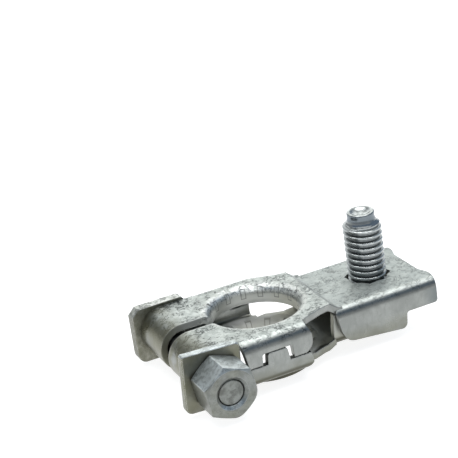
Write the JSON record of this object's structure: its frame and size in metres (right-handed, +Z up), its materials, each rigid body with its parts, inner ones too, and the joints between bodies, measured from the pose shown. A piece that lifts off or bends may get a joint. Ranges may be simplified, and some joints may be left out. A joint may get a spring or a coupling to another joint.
{
  "type": "battery terminal clamp",
  "caption": "Folded sheet-metal battery post clamp with a split collared ring, a cross bolt with hex nut and square washer, and an upright threaded cable stud.",
  "frame": {"origin": "on the axis of the post bore, in the plane of the free end of the lower collar, which the clamp rests on", "axes": "+Z up along the post bore and the stud, +X from the post bore to the stud, the clamp nut on the -Y side"},
  "size_m": [0.0585, 0.0366, 0.0248],
  "materials": {
    "plated_sheet": "dull silver plating, finely scratched on the upper faces, smoother on the flanges",
    "plated_stud": "bright plating on rolled thread, bluish in the shade",
    "plated_fastener": "dull plating with an olive tint",
    "plated_washer": "dull plating with an olive tint",
    "plated_nut": "satin plating, lightly pitted"
  },
  "bodies": {
    "clamp": {"clamp_body": "plated_sheet", "stud_bolt": "plated_stud", "clamp_bolt": "plated_fastener"},
    "washer": {"washer_plate": "plated_washer"},
    "nut": {"hex_nut": "plated_nut"}
  },
  "joints": [
    {"name": "nut_travel", "type": "slide", "parent": "clamp", "child": "washer", "axis": [0, -1, 0], "range_m": [0, 0.006]},
    {"name": "nut_turn", "type": "hinge", "parent": "washer", "child": "nut", "pos_m": [-0.01555, -0.0141, 0.0066], "axis": [0, -1, 0], "range_deg": [0, 2160]}
  ],
  "couplings": [
    {"joint": "nut_turn", "follows": "nut_travel", "rad_per_m": 6283.2}
  ]
}
